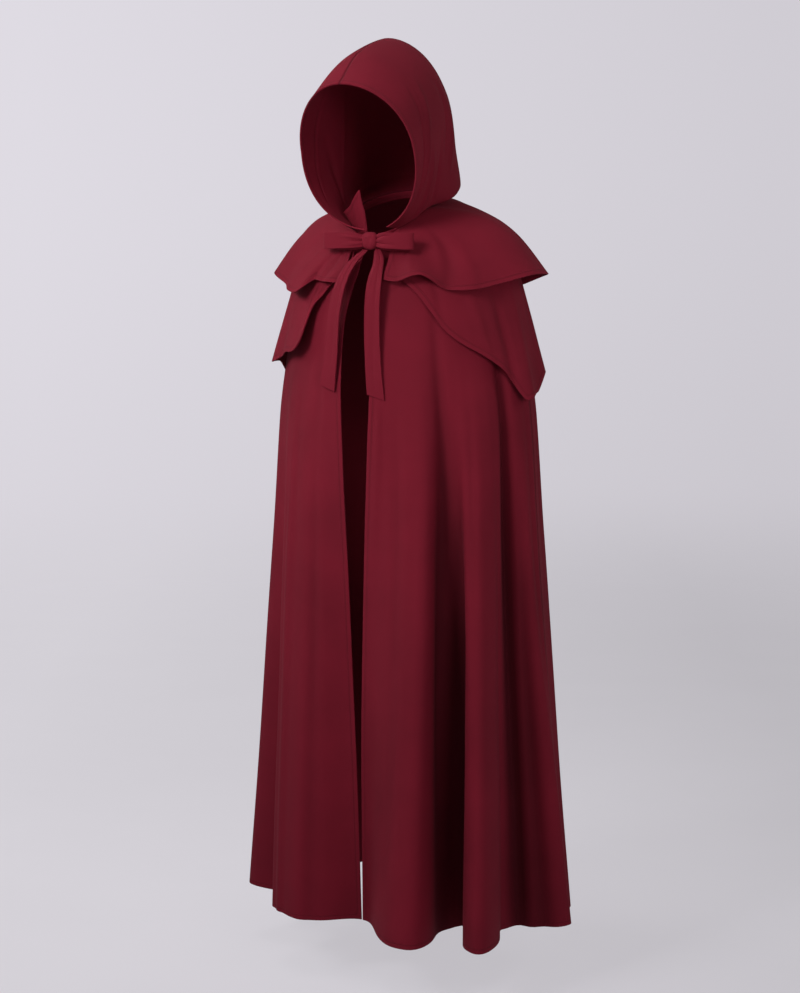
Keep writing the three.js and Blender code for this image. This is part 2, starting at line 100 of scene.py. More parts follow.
# The two capes: how far each stands off the cloth below it, and how long and how full it is round the oval
underCape = {
    "over": None, "gap": 3.2, "flare": 3, "rise": 2, "left": 40, "right": 28,
    "edge": table(
        "at long out lean",
        (-180, 372, 22, 0), (-160, 370, 4, 0), (-140, 370, 24, 0), (-120, 410, 8, 0), (-98, 398, 30, 0),
        (-78, 356, 14, 0), (-64, 332, 22, 0), (-54, 298, 10, 0), (-45, 274, 14, 0), (-37, 256, 18, 6),
        (-31.5, 226, 20, 8), (-29, 164, 10, 4), (-24, 130, 3, 0), (-14, 66, 1, 0), (14, 66, 1, 0),
        (30, 121, 2, 0), (46, 232, 6, 0), (62, 304, 10, 0), (72, 352, 12, 0), (80, 410, 20, 0),
        (92, 406, 10, 0), (106, 373, 20, 0), (124, 370, 6, 0), (142, 370, 24, 0), (162, 370, 4, 0),
        (180, 372, 22, 0),
    ),
}

shoulderCape = {
    "over": underCape, "gap": 3.3, "flare": 1.5, "rise": 2, "left": 44, "right": 31,
    "edge": table(
        "at long out lean",
        (-180, 190, 16, 0), (-158, 188, 4, 0), (-136, 198, 22, 0), (-114, 208, 8, 0), (-92, 204, 37, 0),
        (-72, 182, 36, -4), (-56, 167, 16, 0), (-44, 158, 22, 4), (-37, 146, 24, 10), (-31, 116, 6, 0),
        (-24, 111, 10, 0), (-11, 101, 5, 0), (11, 92, 2, 0), (23, 106, 6, 0), (36, 114, 22, 0),
        (48, 154, 8, 0), (64, 182, 12, 0), (92, 204, 44, 0), (114, 204, 46, 0), (134, 212, 14, 0),
        (157, 188, 4, 0), (180, 190, 16, 0),
    ),
}

# The hood's arches, from the rim (0) to the seam at the neck (1)
hoodArches = table(
    "at right left lift apexY apexZ wide rise peak drift slip full",
    (0, 7, 24, 10, -195, 242, 115, 0.54, 1, 7, 3, 11),
    (0.22, 22, 34, 2, -122, 303, 115, 0.52, 1.15, 6, 7, 7),
    (0.42, 38, 46, 0, -18, 331, 112, 0.48, 1.25, 4, 9, 3),
    (0.6, 56, 58, 0, 62, 290, 105, 0.42, 1.2, 2, 8, 0),
    (0.76, 72, 72, 0, 106, 198, 104, 0.34, 1.15, 0, 4, 0),
    (0.9, 88, 88, 0, 120, 98, 108, 0.32, 1, 0, 0, 0),
    (1, 96, 96, 0, 69, 44, 78, 0.1, 1, 0, 0, 0),
)

# The facing inside the neck: how high it stands and how far it leans, round the oval
facing = {
    "gap": 3.4, "sink": 3, "turn": 11, "deep": 44, "ends": 10, "rows": 34, "columns": 220,
    "edge": table(
        "at up back",
        (-180, 13, 0), (-92, 12, 0), (-78, 14, 0), (-62, 22, -1.6), (-45, 38, -12), (-32, 62, 4),
        (-21, 84, 18), (-15, 50, 14), (-8, 8, 0), (60, 8, 0), (180, 13, 0),
    ),
}

# What all the cloth shares: its thickness, how its folds grow down to the hem, and how its edges are rounded
cloth = {
    "wool": 2.4, "hemZ": -1290, "shoulderBend": 0.25, "foldGrowth": 1.25, "leanGrowth": 1.6,
    "capeEase": 40, "hoodLift": 2.9, "hoodSettle": 0.9, "edgeRound": 0.8, "edgeTurn": 50,
    "foldDepth": 26, "rimFade": 4, "finest": 4000,
}


def readTable(rows, place, column, at):  # a smooth curve through the rows that never overshoots them
    xs, ys = rows[place], rows[column]
    at = np.clip(at, xs[0], xs[-1])
    slope = np.diff(ys) / np.diff(xs)
    before, after = slope[:-1], slope[1:]
    same = before * after > 0
    inner = np.where(same, 2 * before * after / np.where(same, before + after, 1), 0)
    tangent = np.concatenate([slope[:1], inner, slope[-1:]])
    i = np.clip(np.searchsorted(xs, at) - 1, 0, len(xs) - 2)
    step = xs[i + 1] - xs[i]
    f = (at - xs[i]) / step
    start = (2 * f**3 - 3 * f**2 + 1) * ys[i] + (f**3 - 2 * f**2 + f) * step * tangent[i]
    return start + (3 * f**2 - 2 * f**3) * ys[i + 1] + (f**3 - f**2) * step * tangent[i + 1]


def readFold(rows, column, at):  # level at each crest and each valley
    xs, ys = rows["at"], rows[column]
    i = np.clip(np.searchsorted(xs, at) - 1, 0, len(xs) - 2)
    f = np.clip((at - xs[i]) / (xs[i + 1] - xs[i]), 0, 1)
    return ys[i] + (ys[i + 1] - ys[i]) * (1 - np.cos(math.pi * f)) / 2


def wrap(at):
    return (at + 180) % 360 - 180


def unit(v):
    return v / np.maximum(np.linalg.norm(v, axis=-1, keepdims=True), 1e-12)


def smooth(low, high, x):
    f = np.clip((x - low) / (high - low), 0, 1)
    return f * f * (3 - 2 * f)


def oval(at, down):
    value = {c: readTable(rings, "down", c, down) for c in rings}
    sine, cosine = np.sin(np.radians(at)), np.cos(np.radians(at))
    ahead = cosine > 0
    reach = np.where(ahead, value["middle"] - value["front"], value["back"] - value["middle"])
    zEnd = np.where(ahead, value["zFront"], value["zBack"])
    k = cloth["shoulderBend"]
    bend = (1 + k) * cosine**2 / (np.abs(cosine) + k)
    z = value["zSide"] + (zEnd - value["zSide"]) * bend
    return np.stack([value["side"] * sine, value["middle"] - reach * cosine, z], axis=-1)


def ovalFrame(at, down):  # the directions along the oval and out of it
    degrees, drop = 0.5, 2
    along = unit(oval(at + degrees, down) - oval(at - degrees, down))
    downward = unit(oval(at, down + drop) - oval(at, np.maximum(0, down - drop)))
    return along, unit(np.cross(downward, along))


def cloakPoint(at, down):
    point, place = oval(at, down), wrap(at)  # wrapped, because the folds' table ends at 180
    top = readFold(cloakFolds, "top", place)
    depth = np.clip((top - point[..., 2]) / (top - cloth["hemZ"]), 0, 1)
    along, outward = ovalFrame(at, down)
    out = readFold(cloakFolds, "out", place) * depth ** cloth["foldGrowth"]
    lean = readFold(cloakFolds, "lean", place) * depth ** cloth["leanGrowth"]
    return point + outward * out[..., None] + along * lean[..., None]


def capeStand(cape, place, down):
    share = np.minimum(1, down / readTable(cape["edge"], "at", "long", place))
    below = capeStand(cape["over"], place, down) if cape["over"] else 0
    wave = readFold(cape["edge"], "out", place) * share ** cape["rise"]
    return below + cape["gap"] + cape["flare"] * (1 - np.exp(-down / cloth["capeEase"])) + wave


def capePoint(cape, at, share):
    place = wrap(at)
    down = share * readTable(cape["edge"], "at", "long", place)
    along, outward = ovalFrame(at, down)
    lean = readFold(cape["edge"], "lean", place) * share ** cape["rise"]
    stand = capeStand(cape, place, down)
    return cloakPoint(at, down) + outward * stand[..., None] + along * lean[..., None]


neckUp = unit(np.array([0, rings["zFront"][0] - rings["zBack"][0], rings["back"][0] - rings["front"][0]]))


def neckRing(at, outward, upward):
    down = np.zeros_like(at)
    return oval(at, down) + ovalFrame(at, down)[1] * outward + neckUp * upward[..., None]


def hoodPoint(share, across):
    value = {c: readTable(hoodArches, "at", c, share) for c in hoodArches}
    lift = cloth["hoodLift"] + value["lift"]
    stand = underCape["gap"] + shoulderCape["gap"]
    foot = neckRing(np.where(across < 0, value["right"], value["left"]), stand, lift)
    flat = np.zeros_like(share)
    base = np.stack([flat, foot[..., 1], foot[..., 2]], axis=-1)
    apex = np.stack([flat, value["apexY"], value["apexZ"]], axis=-1)
    height = np.linalg.norm(apex - base, axis=-1)
    upward = unit(apex - base)
    wide = np.maximum(value["wide"], foot[..., 0] + 0.3)
    level = value["rise"] * height
    end = math.pi - np.arcsin(foot[..., 0] / wide)
    angle = np.abs(across) * end
    above = np.cos(angle) > 0
    half = np.where(above, height - level, level / -np.cos(end))
    sine = np.where(above, np.abs(np.sin(angle)) ** value["peak"], np.sin(angle))
    point = base + upward * (level + half * np.cos(angle))[..., None]
    below = np.maximum(0, (angle - math.pi / 2) / (end - math.pi / 2))
    bulge = np.where(across < 0, value["full"] * np.sin(math.pi * below), 0)
    slip = value["slip"] * np.maximum(0, np.sin(2 * angle))
    point[..., 0] += np.sign(across) * wide * sine + value["drift"] * sine**2 + slip - bulge
    seamAt = 180 - np.abs(across) * (180 - value["left"])
    seamPoint = neckRing(np.where(across < 0, -seamAt, seamAt), stand, lift)
    settle = np.maximum(0, (share - cloth["hoodSettle"]) / (1 - cloth["hoodSettle"]))[..., None] ** 2
    return point + (seamPoint - point) * settle


def facingPoint(share, at):
    place = wrap(at)
    stand = np.maximum(0, 1 - 2 * share)
    down = np.maximum(0, 2 * share - 1) * facing["deep"]
    along, outward = ovalFrame(at, down)
    inward = unit(np.cross(neckUp, along))
    under = np.minimum(1, down / facing["turn"])
    rise = stand * readTable(facing["edge"], "at", "up", place) - facing["sink"] * (1 - under)
    lean = stand * readFold(facing["edge"], "back", place) + facing["gap"] * (1 - under)
    hang = -facing["gap"] * under
    return oval(at, down) + inward * lean[..., None] + neckUp * rise[..., None] + outward * hang[..., None]


def edgeAngle(half, down):
    return np.degrees(np.arcsin(half / readTable(rings, "down", "side", down)))


def nearEdge(at, edge, wanted, reach):
    away = np.abs(wrap(at)) - edge
    return at + np.sign(wrap(at)) * np.maximum(0, 1 - away / reach) * (wanted - edge)


print("tables read")


# Soft folds pressed into a piece, each from one place on the cloth to another. Width and depth are in
# millimetres, and a negative depth is a trough. scale turns the piece's two directions into millimetres.
def creased(creases, scale, across, down):
    x, y = across * scale[0], down * scale[1]
    height = np.zeros_like(x)
    for k in range(len(creases["at"])):
        row = {name: creases[name][k] for name in creases}
        ax, ay = row["at"] * scale[0], row["down"] * scale[1]
        bx, by = row["toAt"] * scale[0] - ax, row["toDown"] * scale[1] - ay
        long = bx * bx + by * by
        t = ((x - ax) * bx + (y - ay) * by) / long
        bow = row["bow"] * np.sin(math.pi * np.clip(t, 0, 1))
        aside = ((x - ax) * by - (y - ay) * bx) / math.sqrt(long) - bow
        ends = smooth(-0.15, 0.35, t) * (1 - smooth(0.65, 1.15, t))
        height += row["deep"] * ends * np.exp(-((aside / row["wide"]) ** 2))
    return height


def unevenness(seed, size, x, y):  # a slow wander of the cloth, the same on every run
    height = np.zeros_like(x)
    for k in range(1, 6):
        turn = seed * 1.7 + k * 2.4
        pitch = size * (0.6 + 0.35 * k)
        height += np.sin((x * math.cos(turn) + y * math.sin(turn)) * 2 * math.pi / pitch + seed * k) / 5
    return height


# What the cloth's material reads: how near each point is to a hem or a seam, for the sewing and the painted
# highlight along the hems, and how deep in a fold it lies, for the painted shade in the folds
def layEdges(mesh, rim, inset, along, seam, sunk):
    for label, values in (("rim", rim), ("inset", inset * mm), ("along", along * mm), ("seam", seam * mm),
                          ("sunk", sunk)):
        mesh.attributes.new(label, "FLOAT", "POINT").data.foreach_set("value", values)


# A sheet of cloth: a grid of points laid on a surface, thickened and softly rounded at its cut edges.
# hems and seams name the sides that are hemmed or sewn to a neighbour: top, foot, first or last
def clothPiece(name, downs, acrosses, surface, relief=None, thickness=None, hems=(), seams=()):
    rows, columns = len(downs), len(acrosses)
    bm = bmesh.new()
    bmesh.ops.create_grid(bm, x_segments=columns - 1, y_segments=rows - 1, size=1)
    mesh = bpy.data.meshes.new(name)
    bm.to_mesh(mesh)
    bm.free()
    flat = np.zeros(len(mesh.vertices) * 3)
    mesh.vertices.foreach_get("co", flat)
    flat = flat.reshape(-1, 3)
    column = np.rint((flat[:, 0] + 1) / 2 * (columns - 1)).astype(int)
    row = np.rint((1 - flat[:, 1]) / 2 * (rows - 1)).astype(int)

    down, across = np.meshgrid(np.asarray(downs, float), np.asarray(acrosses, float), indexing="ij")
    downStep = (downs[-1] - downs[0]) / cloth["finest"]
    acrossStep = (acrosses[-1] - acrosses[0]) / cloth["finest"]
    point = surface(down, across)
    drop = surface(np.minimum(downs[-1], down + downStep), across)
    drop = drop - surface(np.maximum(downs[0], down - downStep), across)
    aside = surface(down, across + acrossStep) - surface(down, across - acrossStep)
    normal = unit(np.cross(drop, aside))
    u = np.zeros_like(down)
    u[:, 1:] = np.cumsum(np.linalg.norm(np.diff(point, axis=1), axis=-1), axis=1)
    u -= u[:, columns // 2][:, None]
    v = np.zeros_like(down)
    v[1:] = np.cumsum(np.linalg.norm(np.diff(point, axis=0), axis=-1), axis=0)
    pressed = relief(down, across) if relief else np.zeros_like(down)
    point = point + normal * pressed[..., None]
    mesh.vertices.foreach_set("co", (point[row, column] * mm).ravel())

    cut = mesh.uv_layers.new(name="cut")
    corner = np.zeros(len(mesh.loops), int)
    mesh.loops.foreach_get("vertex_index", corner)
    places = np.stack([u[row, column], v[row, column]], axis=-1) * mm
    cut.data.foreach_set("uv", places[corner].ravel())
    hemWay = unit(np.gradient(point[-1], axis=0))  # the foot may run slantwise to the rows
    slant = np.linalg.norm(np.cross(hemWay, unit(point[-1] - point[-2])), axis=-1)
    away = {"top": v, "foot": (v[-1] - v) * slant, "first": u - u[:, :1], "last": u[:, -1:] - u}
    along = {"top": u[:1] + 0 * v, "foot": u[-1:] + 0 * v, "first": v, "last": v}
    far = np.full_like(v, 1000)
    inset = np.min([far, *[away[side] for side in hems]], axis=0)
    nearest = np.zeros_like(v)
    for side in hems:
        nearest = np.where(away[side] <= inset, along[side], nearest)
    seam = np.min([far, *[away[side] for side in seams]], axis=0)
    # How deep in a fold each point lies; the material darkens the colour there as painted shade.
    sunk = np.clip(-pressed / cloth["foldDepth"], 0, 1)
    rim = np.exp(-inset / cloth["rimFade"])
    layEdges(mesh, *[values[row, column] for values in (rim, inset, nearest, seam, sunk)])
    mesh.polygons.foreach_set("use_smooth", np.ones(len(mesh.polygons), bool))
    mesh.update()

    piece = bpy.data.objects.new(name, mesh)
    bpy.context.scene.collection.objects.link(piece)
    wall = piece.modifiers.new("wall", "SOLIDIFY")
    wall.thickness = (thickness or cloth["wool"]) * mm
    wall.offset = 0
    soft = piece.modifiers.new("soft edges", "BEVEL")
    soft.width = cloth["edgeRound"] * mm
    soft.segments = 2
    soft.limit_method = "ANGLE"
    soft.angle_limit = math.radians(cloth["edgeTurn"])
    return piece


def evenly(start, stop, steps):
    return np.linspace(start, stop, steps + 1)


# Steps that gather near one or both ends, where the hems lie
def gathered(start, stop, steps, first=1.0, last=1.0, fade=14):
    f = np.linspace(0, 1, steps + 1)
    weight = 1 + (first - 1) * np.exp(-f * fade) + (last - 1) * np.exp(-(1 - f) * fade)
    place = np.concatenate([[0], np.cumsum(2 / (weight[1:] + weight[:-1]))])
    return start + (stop - start) * place / place[-1]


# Node groups
def newGroup(name, inputs, outputs):
    group = bpy.data.node_groups.new(name, "ShaderNodeTree")
    for label, kind, value in inputs:
        socket = group.interface.new_socket(label, in_out="INPUT", socket_type=kind)
        if value is not None:
            socket.default_value = value
    for label, kind in outputs:
        group.interface.new_socket(label, in_out="OUTPUT", socket_type=kind)
    return group


class Graph:
    def __init__(self, tree):
        self.tree = tree

    def add(self, kind, links=None, **settings):
        node = self.tree.nodes.new("ShaderNode" + kind if not kind.startswith("Node") else kind)
        for key, value in settings.items():
            setattr(node, key, value)
        for key, value in (links or {}).items():
            socket = node.inputs[key]
            if isinstance(value, bpy.types.NodeSocket):
                self.tree.links.new(value, socket)
            else:
                socket.default_value = value
        return node

    def math(self, operation, *values):
        return self.add("Math", dict(enumerate(values)), operation=operation).outputs[0]


def emptyGraph(owner):
    owner.use_nodes = True
    owner.node_tree.nodes.clear()
    return Graph(owner.node_tree)


# What the three effects are made with: sizes in metres, heights in millimetres, noise scales per metre
effects = {
    "wander": 160.0, "swing": 5.0, "napScale": 1500.0, "fleckScale": 420.0,
    "dyeScale": 7.0, "dyeShare": 0.7, "darkest": -0.6, "roughSpread": 0.2, "roughBase": 0.74,
    "hemStep": 0.0007, "stitchIn": 0.0016, "stitchWide": 0.001, "seamWide": 0.0022,
    "hemHigh": 0.6, "stitchDeep": -0.5, "seamDeep": -1.4,
}


def buildWeave():  # fine slanting ribs of the wool under a short nap
    group = newGroup(
        "woolWeave",
        [("Place", "NodeSocketVector", None), ("Rib", "NodeSocketFloat", 0.0011),
         ("Nap", "NodeSocketFloat", 0.6), ("Slant", "NodeSocketFloat", 0.85)],
        [("Height", "NodeSocketFloat"), ("Fleck", "NodeSocketFloat")],
    )
    g = Graph(group)
    given = g.add("NodeGroupInput").outputs
    out = g.add("NodeGroupOutput")
    split = g.add("SeparateXYZ", {0: given["Place"]}).outputs
    swirl = g.add("TexNoise", {"Vector": given["Place"], "Scale": effects["wander"], "Detail": 2.0})
    wander = swirl.outputs["Fac"]
    slanted = g.math("ADD", split[0], g.math("MULTIPLY", split[1], given["Slant"]))
    phase = g.math("DIVIDE", slanted, given["Rib"])
    turned = g.math("MULTIPLY_ADD", phase, 2 * math.pi, g.math("MULTIPLY", wander, effects["swing"]))
    ribs = g.math("MULTIPLY_ADD", g.math("SINE", turned), 0.5, 0.5)
    nap = g.add("TexNoise", {"Vector": given["Place"], "Scale": effects["napScale"], "Detail": 3.0,
                             "Roughness": 0.6})
    fibres = nap.outputs["Fac"]
    height = g.add("Mix", {0: given["Nap"], 2: ribs, 3: fibres}, data_type="FLOAT").outputs[0]
    flecks = g.add("TexNoise", {"Vector": given["Place"], "Scale": effects["fleckScale"], "Detail": 4.0,
                                "Roughness": 0.7})
    g.tree.links.new(height, out.inputs["Height"])
    g.tree.links.new(flecks.outputs["Fac"], out.inputs["Fleck"])
    return group


def buildShade():  # the dye's slow unevenness, a painted highlight along the hems, and painted shade in the folds and stitch lines
    group = newGroup(
        "woolShade",
        [("Place", "NodeSocketVector", None), ("Cloth", "NodeSocketColor", None),
         ("Fleck", "NodeSocketFloat", 0.5), ("Rim", "NodeSocketFloat", 0.0),
         ("Shadow", "NodeSocketFloat", 0.0), ("Blotch", "NodeSocketFloat", 0.1),
         ("RimLight", "NodeSocketFloat", 0.2)],
        [("Colour", "NodeSocketColor"), ("Roughness", "NodeSocketFloat")],
    )
    g = Graph(group)
    given = g.add("NodeGroupInput").outputs
    out = g.add("NodeGroupOutput")
    slow = g.add("TexNoise", {"Vector": given["Place"], "Scale": effects["dyeScale"], "Detail": 3.0})
    slow, share = slow.outputs["Fac"], effects["dyeShare"]
    mixed = g.math("ADD", g.math("MULTIPLY", slow, share), g.math("MULTIPLY", given["Fleck"], 1 - share))
    centred = g.math("SUBTRACT", mixed, 0.5)
    level = g.math("MULTIPLY_ADD", centred, g.math("MULTIPLY", given["Blotch"], 4.0), 1.0)
    # Painted highlight: the colour is made paler along the hems, broken up by the flecks.
    rimLit = g.math("MULTIPLY_ADD", g.math("MULTIPLY", given["Rim"], given["Fleck"]), given["RimLight"], level)
    # Painted shade: the Shadow mask darkens the colour, down to darkest in the deepest folds and stitch lines.
    value = g.math("MULTIPLY", rimLit, g.math("MULTIPLY_ADD", given["Shadow"], effects["darkest"], 1.0))
    shade = g.add("HueSaturation", {"Value": value, "Color": given["Cloth"]}).outputs[0]
    g.tree.links.new(shade, out.inputs["Colour"])
    rough = g.math("MULTIPLY_ADD", given["Fleck"], effects["roughSpread"], effects["roughBase"])
    g.tree.links.new(rough, out.inputs["Roughness"])
    return group


def buildSewing():  # the turned hem with its row of stitches, and the sewn seam. Height is in millimetres
    group = newGroup(
        "hemSewing",
        [("Inset", "NodeSocketFloat", 1.0), ("Along", "NodeSocketFloat", 0.0),
         ("Seam", "NodeSocketFloat", 1.0), ("Hem", "NodeSocketFloat", 0.0095),
         ("Pitch", "NodeSocketFloat", 0.0034)],
        [("Height", "NodeSocketFloat"), ("Mask", "NodeSocketFloat")],
    )
    g = Graph(group)
    given = g.add("NodeGroupInput").outputs
    out = g.add("NodeGroupOutput")
    outer = g.math("ADD", given["Hem"], effects["hemStep"])
    turned = g.add("MapRange", {0: given["Inset"], 1: given["Hem"], 2: outer, 3: 1.0, 4: 0.0},
                   interpolation_type="SMOOTHSTEP").outputs[0]
    stitchAt = g.math("SUBTRACT", given["Hem"], effects["stitchIn"])
    fromLine = g.math("DIVIDE", g.math("SUBTRACT", stitchAt, given["Inset"]), effects["stitchWide"])
    line = g.math("EXPONENT", g.math("MULTIPLY", g.math("MULTIPLY", fromLine, fromLine), -1.0))
    turn = g.math("SINE", g.math("DIVIDE", g.math("MULTIPLY", given["Along"], math.pi), given["Pitch"]))
    stitch = g.math("MULTIPLY_ADD", g.math("ABSOLUTE", turn), -0.5, 1.0)
    sunk = g.math("MULTIPLY", line, stitch)
    fromSeam = g.math("DIVIDE", given["Seam"], effects["seamWide"])
    seam = g.math("EXPONENT", g.math("MULTIPLY", g.math("MULTIPLY", fromSeam, fromSeam), -1.0))
    stitched = g.math("MULTIPLY", sunk, effects["stitchDeep"])
    raised = g.math("MULTIPLY_ADD", turned, effects["hemHigh"], stitched)
    height = g.math("MULTIPLY_ADD", seam, effects["seamDeep"], raised)
    # The mask darkens the colour along the stitch lines and seams as painted shade.
    mask = g.math("MAXIMUM", g.math("MULTIPLY", sunk, 0.8), seam)
    g.tree.links.new(height, out.inputs["Height"])
    g.tree.links.new(mask, out.inputs["Mask"])
    return group


weaveGroup = buildWeave()
shadeGroup = buildShade()
sewingGroup = buildSewing()

# Each cloth's last values set the painted highlight along its hems and the painted shade along its stitch
# lines and seams.
wool = {
    "colour": (0.187, 0.0080, 0.0212), "sheen": 0.03, "sheenRough": 0.4, "bump": 0.35, "deep": 0.0005,
    "rib": 0.0011, "nap": 0.6, "slant": 0.85, "blotch": 0.18, "rimlight": 0.12, "stitchShade": 0.7,
}
tape = {
    "colour": (0.190, 0.0082, 0.0218), "sheen": 0.03, "sheenRough": 0.4, "bump": 0.3, "deep": 0.0004,
    "rib": 0.0011, "nap": 0.6, "slant": -0.85, "blotch": 0.08, "rimlight": 0.2, "stitchShade": 0.7,
}


def woolMaterial(name, values):
    material = bpy.data.materials.new(name)
    g = emptyGraph(material)
    place = g.add("UVMap", uv_map="cut").outputs["UV"]
    ground = g.add("TexCoord").outputs["Object"]
    rim = g.add("Attribute", attribute_name="rim").outputs["Fac"]
    weave = g.add("Group", node_tree=weaveGroup)
    shade = g.add("Group", node_tree=shadeGroup)
    for label in ("Rib", "Nap", "Slant"):
        weave.inputs[label].default_value = values[label.lower()]
    for label in ("Blotch", "RimLight"):
        shade.inputs[label].default_value = values[label.lower()]
    shade.inputs["Cloth"].default_value = (*values["colour"], 1)
    link = g.tree.links.new
    link(place, weave.inputs["Place"])
    link(ground, shade.inputs["Place"])
    link(weave.outputs["Fleck"], shade.inputs["Fleck"])
    link(rim, shade.inputs["Rim"])
    sewing = g.add("Group", node_tree=sewingGroup)
    for label in ("Inset", "Along", "Seam"):
        link(g.add("Attribute", attribute_name=label.lower()).outputs["Fac"], sewing.inputs[label])
    # Painted shade: the colour is darkened in the depths of the folds and along the stitch lines and seams.
    fold = g.add("Attribute", attribute_name="sunk").outputs["Fac"]
    stitches = g.math("MULTIPLY", sewing.outputs["Mask"], values["stitchShade"])
    link(g.math("MAXIMUM", stitches, fold), shade.inputs["Shadow"])
    woven = g.add("Bump", {"Height": weave.outputs["Height"], "Strength": values["bump"],
                           "Distance": values["deep"]}).outputs["Normal"]
    sewn = g.add("Bump", {"Height": sewing.outputs["Height"], "Strength": 1.0, "Distance": mm,
                          "Normal": woven}).outputs["Normal"]
    shader = g.add("BsdfPrincipled", {
        "Base Color": shade.outputs["Colour"], "Roughness": shade.outputs["Roughness"], "Normal": sewn,
        "Sheen Weight": values["sheen"], "Sheen Roughness": values["sheenRough"],
        "Sheen Tint": (0.9, 0.35, 0.42, 1), "Specular IOR Level": 0.15,
    })
    out = g.add("OutputMaterial")
    link(shader.outputs[0], out.inputs["Surface"])
    return material


woolCloth = woolMaterial("burgundyWool", wool)
tieCloth = woolMaterial("burgundyTie", tape)
print("wool ready")


def finishPiece(piece, node, material):
    piece.data.materials.append(material)
    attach(piece, "root")
    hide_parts(node)


# The cloak's body: two fronts and a back, joined down the wearer's sides. The big folds come from cloakFolds,
# and these creases are pressed into them.
body = {
    "rows": 170, "columnsPerFold": 15, "long": 1340, "seamAir": 0.05, "hemEdge": 2, "reach": 16,
    "perDegree": 4.4, "wander": 2.2, "wanderSize": 260, "wanderStretch": 0.6, "smoothTo": 60,
    "settledFrom": 260,
    "pieces": ["front_leftCloth", "backCloth", "front_rightCloth"],
}
bodyCreases = table(
    "at down toAt toDown wide deep bow",
    (39.5, 260, 36, 1720, 13, -24, 0),
    (44, 500, 42.5, 1720, 13, -28, 0),
    (31.5, 300, 29, 1720, 11, 5, 0),
    (49, 500, 48, 1720, 9, 7, 0),
    (70.5, 260, 72, 1720, 13, -30, 0),
    (77, 600, 78, 1720, 12, -16, 0),
    (61, 380, 59, 1720, 12, 5, 0),
    (52, 330, 49, 900, 10, -4, 0),
    (84, 340, 92, 1500, 12, -5, -4),
    (87, 800, 87, 1760, 15, 9, 0),
    (117, 800, 117, 1760, 18, -12, 0),
    (-20, 420, -17, 1600, 12, -6, 3),
    (-36, 360, -35, 1720, 12, 6, 0),
    (9, 280, 6, 700, 8, 2.6, 2),
    (20, 300, 18, 1300, 10, -3, 3),
    (-22, 210, -20, 420, 12, -2, 4),
    (-34, 300, -30, 700, 16, -2.4, -6),
    (100, 320, 104, 700, 14, -2.6, -6),
    (128, 300, 131, 640, 16, 2.4, 5),
    (-112, 330, -116, 720, 14, -2.6, 6),
    (-146, 300, -142, 660, 16, 2.4, -5),
    (176, 320, 172, 690, 15, -2.4, 5),
)


def frontPlace(down, at):
    wanted = edgeAngle(readTable(frontEdge, "down", "half", down), down)
    return nearEdge(at, body["hemEdge"], wanted, body["reach"])


def bodyRelief(down, at):
    place = wrap(at)
    settled = smooth(body["smoothTo"], body["settledFrom"], down)
    wander = unevenness(1, body["wanderSize"], place * body["perDegree"], down * body["wanderStretch"])
    pressed = creased(bodyCreases, (body["perDegree"], 1), place, down)
    return pressed + wander * body["wander"] * settled


def bodyPanel(name, start, stop):
    places = [a for a in cloakFolds["at"] if start < a < stop]
    places += [a + 360 for a in cloakFolds["at"][1:] if start < a + 360 < stop]
    ends = [start or body["hemEdge"], *places, stop or -body["hemEdge"]]
    acrosses = [a for k in range(len(ends) - 1)
                for a in np.linspace(ends[k], ends[k + 1], body["columnsPerFold"], endpoint=False)]
    downs = gathered(0, body["long"], body["rows"], 2.5, 3)

    def surface(down, at):
        place = frontPlace(down, at)
        size = np.linalg.norm(cloakPoint(at + 0.5, down) - cloakPoint(at - 0.5, down), axis=-1)
        air = body["seamAir"] / 2 / size
        place = place + np.where((start != 0) & (at <= start + 1), air, 0)
        place = place - np.where((stop != 0) & (at >= stop - 1), air, 0)
        return cloakPoint(place, down)

    hems = ["foot", *(["first"] if start == 0 else []), *(["last"] if stop == 0 else [])]
    seams = [*(["first"] if start else []), *(["last"] if stop else [])]
    acrosses.append(ends[-1])
    piece = clothPiece(name + "Cloth", downs, acrosses, surface, bodyRelief, None, hems, seams)
    finishPiece(piece, name, woolCloth)


bodyPanel("front_left", 0, 90)
bodyPanel("back", 90, 270)
bodyPanel("front_right", -90, 0)
print("body hung")

# The two capes
capes = {"edge": 14, "reach": 50, "columnsPerFold": 12, "perDegree": 3.6, "wander": 1.4, "wanderSize": 180}
underCreases = table(
    "at down toAt toDown wide deep bow",
    (70, 0.5, 77, 1.3, 10, -4.5, 2),
    (84, 0.5, 81, 1.3, 10, 3, 2),
    (58, 0.45, 66, 1.1, 9, 2.4, -3),
    (43, 0.5, 45, 1.3, 8, -2.6, 0),
    (100, 0.4, 98, 0.95, 12, -2.2, 3),
    (-66, 0.4, -72, 0.95, 12, -2.2, 3),
    (-110, 0.4, -108, 0.9, 14, 2.2, 4),
    (150, 0.4, 152, 0.95, 14, -2.2, -4),
    (-170, 0.4, -172, 0.9, 14, -2.2, 4),
)
shoulderCreases = table(
    "at down toAt toDown wide deep bow",
    (60, 0.2, 45, 1.15, 11, -5, 3),
    (64, 0.3, 58, 1.1, 13, 3.4, 3),
    (34, 0.35, 30, 1.1, 9, 2.6, 0),
    (-24, 0.25, -29, 1.1, 9, -3, 2),
    (80, 0.4, 84, 0.95, 14, -1.6, 4),
    (-44, 0.3, -46, 0.95, 10, 2, 3),
    (-82, 0.4, -84, 0.95, 14, -1.6, 4),
    (-130, 0.4, -126, 0.9, 14, 1.8, 4),
    (140, 0.4, 146, 0.9, 14, -1.8, -4),
)


